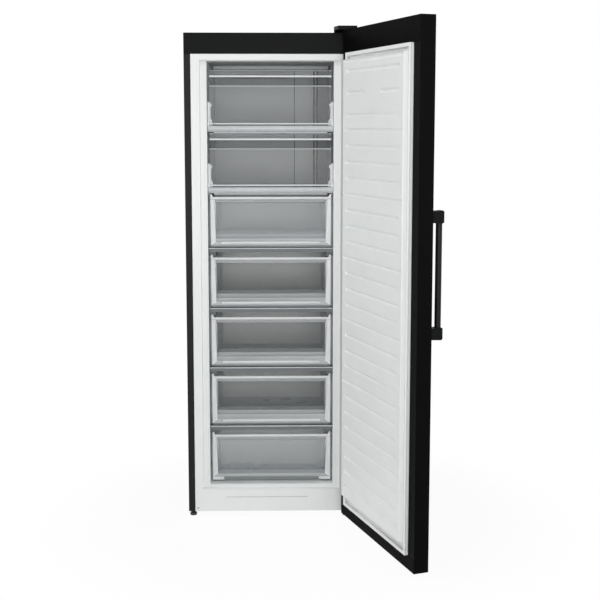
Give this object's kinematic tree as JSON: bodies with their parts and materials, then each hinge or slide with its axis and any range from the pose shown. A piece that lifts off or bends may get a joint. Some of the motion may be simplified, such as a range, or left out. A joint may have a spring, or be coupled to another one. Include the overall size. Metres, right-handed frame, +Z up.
{
  "type": "upright freezer",
  "caption": "Tall upright freezer with a dark cabinet, right-hinged insulated door, clear drawers and flaps on glass shelves, and its cooling parts.",
  "frame": {"origin": "on the floor, below the middle of the whole part's box with the door open as it stands", "axes": "+Z up, +X to the hinge side; the front faces -Y"},
  "size_m": [0.8278, 1.1726, 1.733],
  "materials": {
    "black_steel": "satin",
    "black_plastic": "satin",
    "white_liner": "satin",
    "grey_trim": "satin",
    "clear_plastic": "gloss",
    "shelf_glass": "gloss",
    "foam": "matte",
    "zinc_steel": "satin",
    "aluminium_fins": "satin",
    "copper_tube": "satin",
    "black_enamel": "gloss",
    "dark_rubber": "matte",
    "seal": "matte",
    "circuit_board": "satin"
  },
  "bodies": {
    "cabinet": {"side_panel_left": "black_steel", "side_panel_right": "black_steel", "top_panel": "black_steel", "back_panel": "zinc_steel", "base_plate": "zinc_steel", "cabinet_foam": "foam", "inner_liner": "white_liner", "front_header": "black_plastic", "plinth_panel": "white_liner", "glass_shelf_1": "shelf_glass", "glass_shelf_2": "shelf_glass", "glass_shelf_3": "shelf_glass", "glass_shelf_4": "shelf_glass", "glass_shelf_5": "shelf_glass", "glass_shelf_6": "shelf_glass", "shelf_trim_1": "grey_trim", "shelf_trim_2": "grey_trim", "shelf_trim_3": "grey_trim", "shelf_trim_4": "grey_trim", "shelf_trim_5": "grey_trim", "shelf_trim_6": "grey_trim", "duct_cover": "grey_trim", "lamp_cover": "clear_plastic", "evaporator": "aluminium_fins", "defrost_heater": "zinc_steel", "condenser_tube": "copper_tube", "compressor": "black_enamel", "drip_tray": "black_plastic", "fan_motor": "black_plastic", "control_board": "circuit_board", "mains_inlet": "black_plastic", "roller_fork_left": "zinc_steel", "roller_fork_right": "zinc_steel", "hinge_plate_top": "zinc_steel", "hinge_pin_top": "zinc_steel", "hinge_cover": "black_plastic", "hinge_plate_bottom": "zinc_steel", "hinge_pin_bottom": "zinc_steel"},
    "door": {"door_skin": "black_steel", "door_cap_top": "black_plastic", "door_cap_bottom": "black_plastic", "door_foam": "foam", "door_liner": "white_liner", "door_gasket": "seal", "handle_bar": "black_steel", "handle_bracket_upper": "black_plastic", "handle_bracket_lower": "black_plastic"},
    "drawer_box_1": {"drawer_1": "clear_plastic"},
    "drawer_box_2": {"drawer_2": "clear_plastic"},
    "drawer_box_3": {"drawer_3": "clear_plastic"},
    "drawer_box_4": {"drawer_4": "clear_plastic"},
    "drawer_box_5": {"drawer_5": "clear_plastic"},
    "flap_upper": {"flap_1": "clear_plastic"},
    "flap_lower": {"flap_2": "clear_plastic"},
    "fan": {"fan_impeller": "grey_trim"},
    "foot_left": {"front_foot_left": "black_plastic"},
    "foot_right": {"front_foot_right": "black_plastic"},
    "roller_left": {"rear_roller_left": "black_plastic"},
    "roller_right": {"rear_roller_right": "black_plastic"}
  },
  "joints": [
    {"name": "door_hinge", "type": "hinge", "parent": "cabinet", "child": "door", "pos_m": [0.162, -0.035, 0.868], "axis": [0, 0, 1], "range_deg": [-109, 21]},
    {"name": "drawer_1_slide", "type": "slide", "parent": "cabinet", "child": "drawer_box_1", "axis": [0, -1, 0], "range_m": [0, 0.32]},
    {"name": "drawer_2_slide", "type": "slide", "parent": "cabinet", "child": "drawer_box_2", "axis": [0, -1, 0], "range_m": [0, 0.32]},
    {"name": "drawer_3_slide", "type": "slide", "parent": "cabinet", "child": "drawer_box_3", "axis": [0, -1, 0], "range_m": [0, 0.32]},
    {"name": "drawer_4_slide", "type": "slide", "parent": "cabinet", "child": "drawer_box_4", "axis": [0, -1, 0], "range_m": [0, 0.32]},
    {"name": "drawer_5_slide", "type": "slide", "parent": "cabinet", "child": "drawer_box_5", "axis": [0, -1, 0], "range_m": [0, 0.12]},
    {"name": "flap_1_hinge", "type": "hinge", "parent": "cabinet", "child": "flap_upper", "pos_m": [-0.116, 0.0435, 1.403], "axis": [1, 0, 0], "range_deg": [0, 90]},
    {"name": "flap_2_hinge", "type": "hinge", "parent": "cabinet", "child": "flap_lower", "pos_m": [-0.116, 0.0435, 1.188], "axis": [1, 0, 0], "range_deg": [0, 90]},
    {"name": "fan_spin", "type": "hinge", "parent": "cabinet", "child": "fan", "pos_m": [-0.136, 0.489, 0.385], "axis": [0, 1, 0], "continuous": true},
    {"name": "foot_left_turn", "type": "hinge", "parent": "cabinet", "child": "foot_left", "pos_m": [-0.398, 0.014, 0], "axis": [0, 0, 1], "continuous": true},
    {"name": "foot_right_turn", "type": "hinge", "parent": "cabinet", "child": "foot_right", "pos_m": [0.166, 0.014, 0], "axis": [0, 0, 1], "continuous": true},
    {"name": "roller_left_roll", "type": "hinge", "parent": "cabinet", "child": "roller_left", "pos_m": [-0.366, 0.545, 0.012], "axis": [1, 0, 0], "continuous": true},
    {"name": "roller_right_roll", "type": "hinge", "parent": "cabinet", "child": "roller_right", "pos_m": [0.134, 0.545, 0.012], "axis": [1, 0, 0], "continuous": true}
  ]
}
